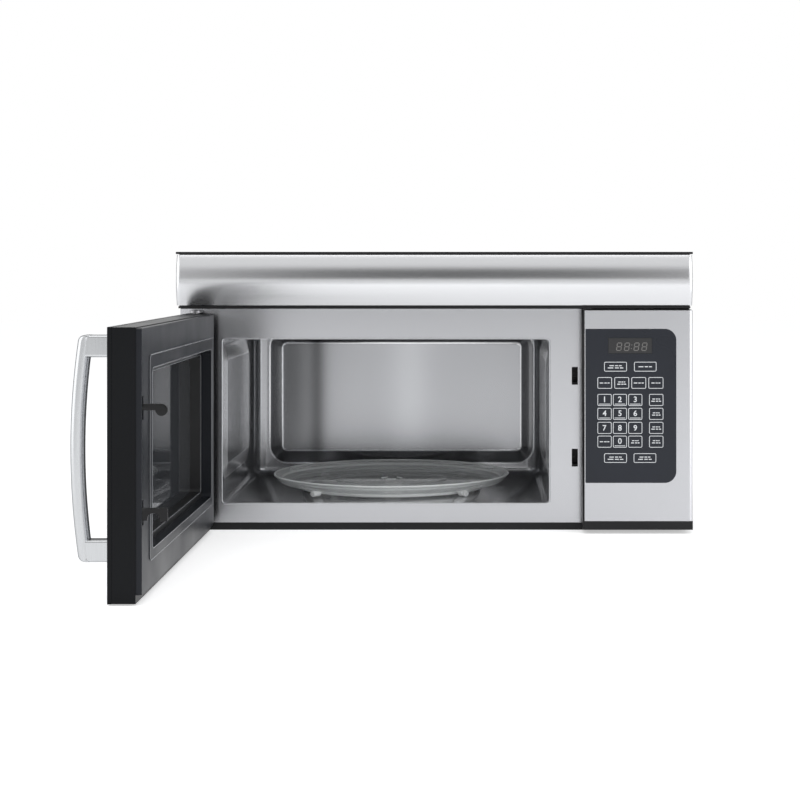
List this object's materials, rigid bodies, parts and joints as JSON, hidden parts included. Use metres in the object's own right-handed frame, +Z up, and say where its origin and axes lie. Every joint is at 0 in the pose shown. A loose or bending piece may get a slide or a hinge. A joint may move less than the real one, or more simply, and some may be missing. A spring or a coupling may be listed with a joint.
{
  "type": "over the range microwave oven",
  "caption": "Over the range microwave with a vent hood: side-hinged window door, glass turntable on a roller ring, membrane keypad and louvred top grille.",
  "frame": {"origin": "centre of the rear face, the face that goes against the wall", "axes": "+X to the right as seen from the front, +Y back towards the wall, +Z up"},
  "size_m": [0.7955, 0.9975, 0.414],
  "materials": {
    "black_case_paint": "satin black enamel",
    "zinc_sheet": "galvanised sheet",
    "zinc_fasteners": "zinc plated",
    "oven_stainless": "mirror-like stainless",
    "brushed_stainless": "brushed along its length",
    "hinge_steel": "zinc plated steel",
    "mica": "mica sheet",
    "black_plastic": "moulded, fine grain",
    "charcoal_pad": "activated charcoal pad",
    "keypad_film": "dark printed film",
    "display_window": "smoked display",
    "circuit_board": "green board",
    "white_plastic": "moulded",
    "switch_plastic": "moulded",
    "switch_plunger": "moulded",
    "door_plastic": "moulded, fine grain",
    "dark_glass": "tinted",
    "perforated_screen": "perforated, black",
    "window_glass": "clear inner pane",
    "door_plate_enamel": "black enamel",
    "choke_plastic": "smooth black moulding",
    "latch_plastic": "black moulding",
    "spring_steel": "spring wire",
    "handle_silver": "satin silver",
    "tray_glass": "clear tempered glass",
    "ring_plastic": "moulded",
    "roller_plastic": "translucent white",
    "magnetron_metal": "cooling fins and yoke",
    "transformer_iron": "laminated core",
    "capacitor_can": "drawn can",
    "motor_metal": "pressed steel",
    "filter_mesh": "layered mesh in a rolled frame",
    "lens_glass": "frosted",
    "lamp_ceramic": "white ceramic",
    "bulb_glass": "clear"
  },
  "bodies": {
    "cabinet": {"case_wrap": "black_case_paint", "base_pan": "black_case_paint", "rear_panel": "zinc_sheet", "case_screws": "zinc_fasteners", "duct_floor": "zinc_sheet", "duct_cover": "zinc_sheet", "cord_bush": "black_plastic", "oven_cavity": "oven_stainless", "face_frame": "brushed_stainless", "top_hinge": "hinge_steel", "bottom_hinge": "hinge_steel", "mica_cover": "mica", "grille_visor": "brushed_stainless", "grille_frame": "black_plastic", "charcoal_filter": "charcoal_pad", "control_housing": "black_plastic", "control_fascia": "brushed_stainless", "keypad_overlay": "keypad_film", "display_module": "display_window", "control_board": "circuit_board", "interlock_bracket": "black_plastic", "door_switches": "switch_plastic", "turntable_motor": "zinc_sheet", "waveguide": "zinc_sheet", "magnetron": "magnetron_metal", "high_voltage_transformer": "transformer_iron", "high_voltage_capacitor": "capacitor_can", "cooling_fan_shroud": "black_plastic", "cooling_fan_motor": "motor_metal", "blower_housing": "zinc_sheet", "blower_motor": "motor_metal", "grease_filter_left": "filter_mesh", "grease_filter_right": "filter_mesh", "lamp_lenses": "lens_glass", "lamp_sockets": "lamp_ceramic", "lamp_bulbs": "bulb_glass"},
    "door": {"door_skin": "brushed_stainless", "door_frame": "door_plastic", "outer_window": "dark_glass", "window_screen": "perforated_screen", "inner_window": "window_glass", "door_plate": "door_plate_enamel", "choke_cover": "choke_plastic", "door_handle": "handle_silver", "handle_screws": "zinc_fasteners", "latch_spring": "spring_steel"},
    "latch_bar": {"latch_bar": "latch_plastic"},
    "turntable": {"glass_tray": "tray_glass", "turntable_coupler": "white_plastic"},
    "roller_ring": {"roller_ring": "ring_plastic"},
    "roller_1": {"roller_1": "roller_plastic"},
    "roller_2": {"roller_2": "roller_plastic"},
    "roller_3": {"roller_3": "roller_plastic"},
    "roller_4": {"roller_4": "roller_plastic"},
    "vent_blower": {"blower_shaft": "hinge_steel", "blower_wheels": "black_plastic"},
    "cooling_fan": {"cooling_fan_rotor": "black_plastic"},
    "primary_plunger": {"primary_switch_plunger": "switch_plunger"},
    "monitor_plunger": {"monitor_switch_plunger": "switch_plunger"},
    "secondary_plunger": {"secondary_switch_plunger": "switch_plunger"}
  },
  "joints": [
    {"name": "door_hinge", "type": "hinge", "parent": "cabinet", "child": "door", "pos_m": [-0.3525, -0.4285, -0.045], "axis": [0, 0, 1], "range_deg": [-10, 90]},
    {"name": "latch_slide", "type": "slide", "parent": "door", "child": "latch_bar", "axis": [0, 0, 1], "range_m": [0, 0.004], "stiffness_N_per_m": 400, "springref_m": -0.004, "deforming": ["latch_spring"]},
    {"name": "turntable_spin", "type": "hinge", "parent": "cabinet", "child": "turntable", "pos_m": [-0.0734, -0.2075, -0.168], "axis": [0, 0, 1], "continuous": true},
    {"name": "roller_ring_spin", "type": "hinge", "parent": "cabinet", "child": "roller_ring", "pos_m": [-0.0734, -0.2075, -0.168], "axis": [0, 0, 1], "continuous": true},
    {"name": "roller_1_spin", "type": "hinge", "parent": "roller_ring", "child": "roller_1", "pos_m": [-0.18454, -0.32259, -0.1627], "axis": [-0.6947, -0.7193, 0], "continuous": true},
    {"name": "roller_2_spin", "type": "hinge", "parent": "roller_ring", "child": "roller_2", "pos_m": [0.04169, -0.31865, -0.1627], "axis": [0.7193, -0.6947, 0], "continuous": true},
    {"name": "roller_3_spin", "type": "hinge", "parent": "roller_ring", "child": "roller_3", "pos_m": [0.03775, -0.09241, -0.1627], "axis": [0.6947, 0.7193, 0], "continuous": true},
    {"name": "roller_4_spin", "type": "hinge", "parent": "roller_ring", "child": "roller_4", "pos_m": [-0.18849, -0.09635, -0.1627], "axis": [-0.7193, 0.6947, 0], "continuous": true},
    {"name": "blower_spin", "type": "hinge", "parent": "cabinet", "child": "vent_blower", "pos_m": [-0.065, -0.085, 0.1385], "axis": [1, 0, 0], "continuous": true},
    {"name": "cooling_fan_spin", "type": "hinge", "parent": "cabinet", "child": "cooling_fan", "pos_m": [0.285, -0.07, 0.018], "axis": [0, 1, 0], "continuous": true},
    {"name": "primary_plunger_slide", "type": "slide", "parent": "cabinet", "child": "primary_plunger", "axis": [0, 1, 0], "range_m": [0, 0.0015], "stiffness_N_per_m": 300},
    {"name": "monitor_plunger_slide", "type": "slide", "parent": "cabinet", "child": "monitor_plunger", "axis": [0, 1, 0], "range_m": [0, 0.0015], "stiffness_N_per_m": 300},
    {"name": "secondary_plunger_slide", "type": "slide", "parent": "cabinet", "child": "secondary_plunger", "axis": [0, 1, 0], "range_m": [0, 0.0015], "stiffness_N_per_m": 300}
  ],
  "couplings": [
    {"joint": "roller_ring_spin", "follows": "turntable_spin", "ratio": 0.5},
    {"joint": "roller_1_spin", "follows": "turntable_spin", "ratio": -16},
    {"joint": "roller_2_spin", "follows": "turntable_spin", "ratio": -16},
    {"joint": "roller_3_spin", "follows": "turntable_spin", "ratio": -16},
    {"joint": "roller_4_spin", "follows": "turntable_spin", "ratio": -16}
  ]
}
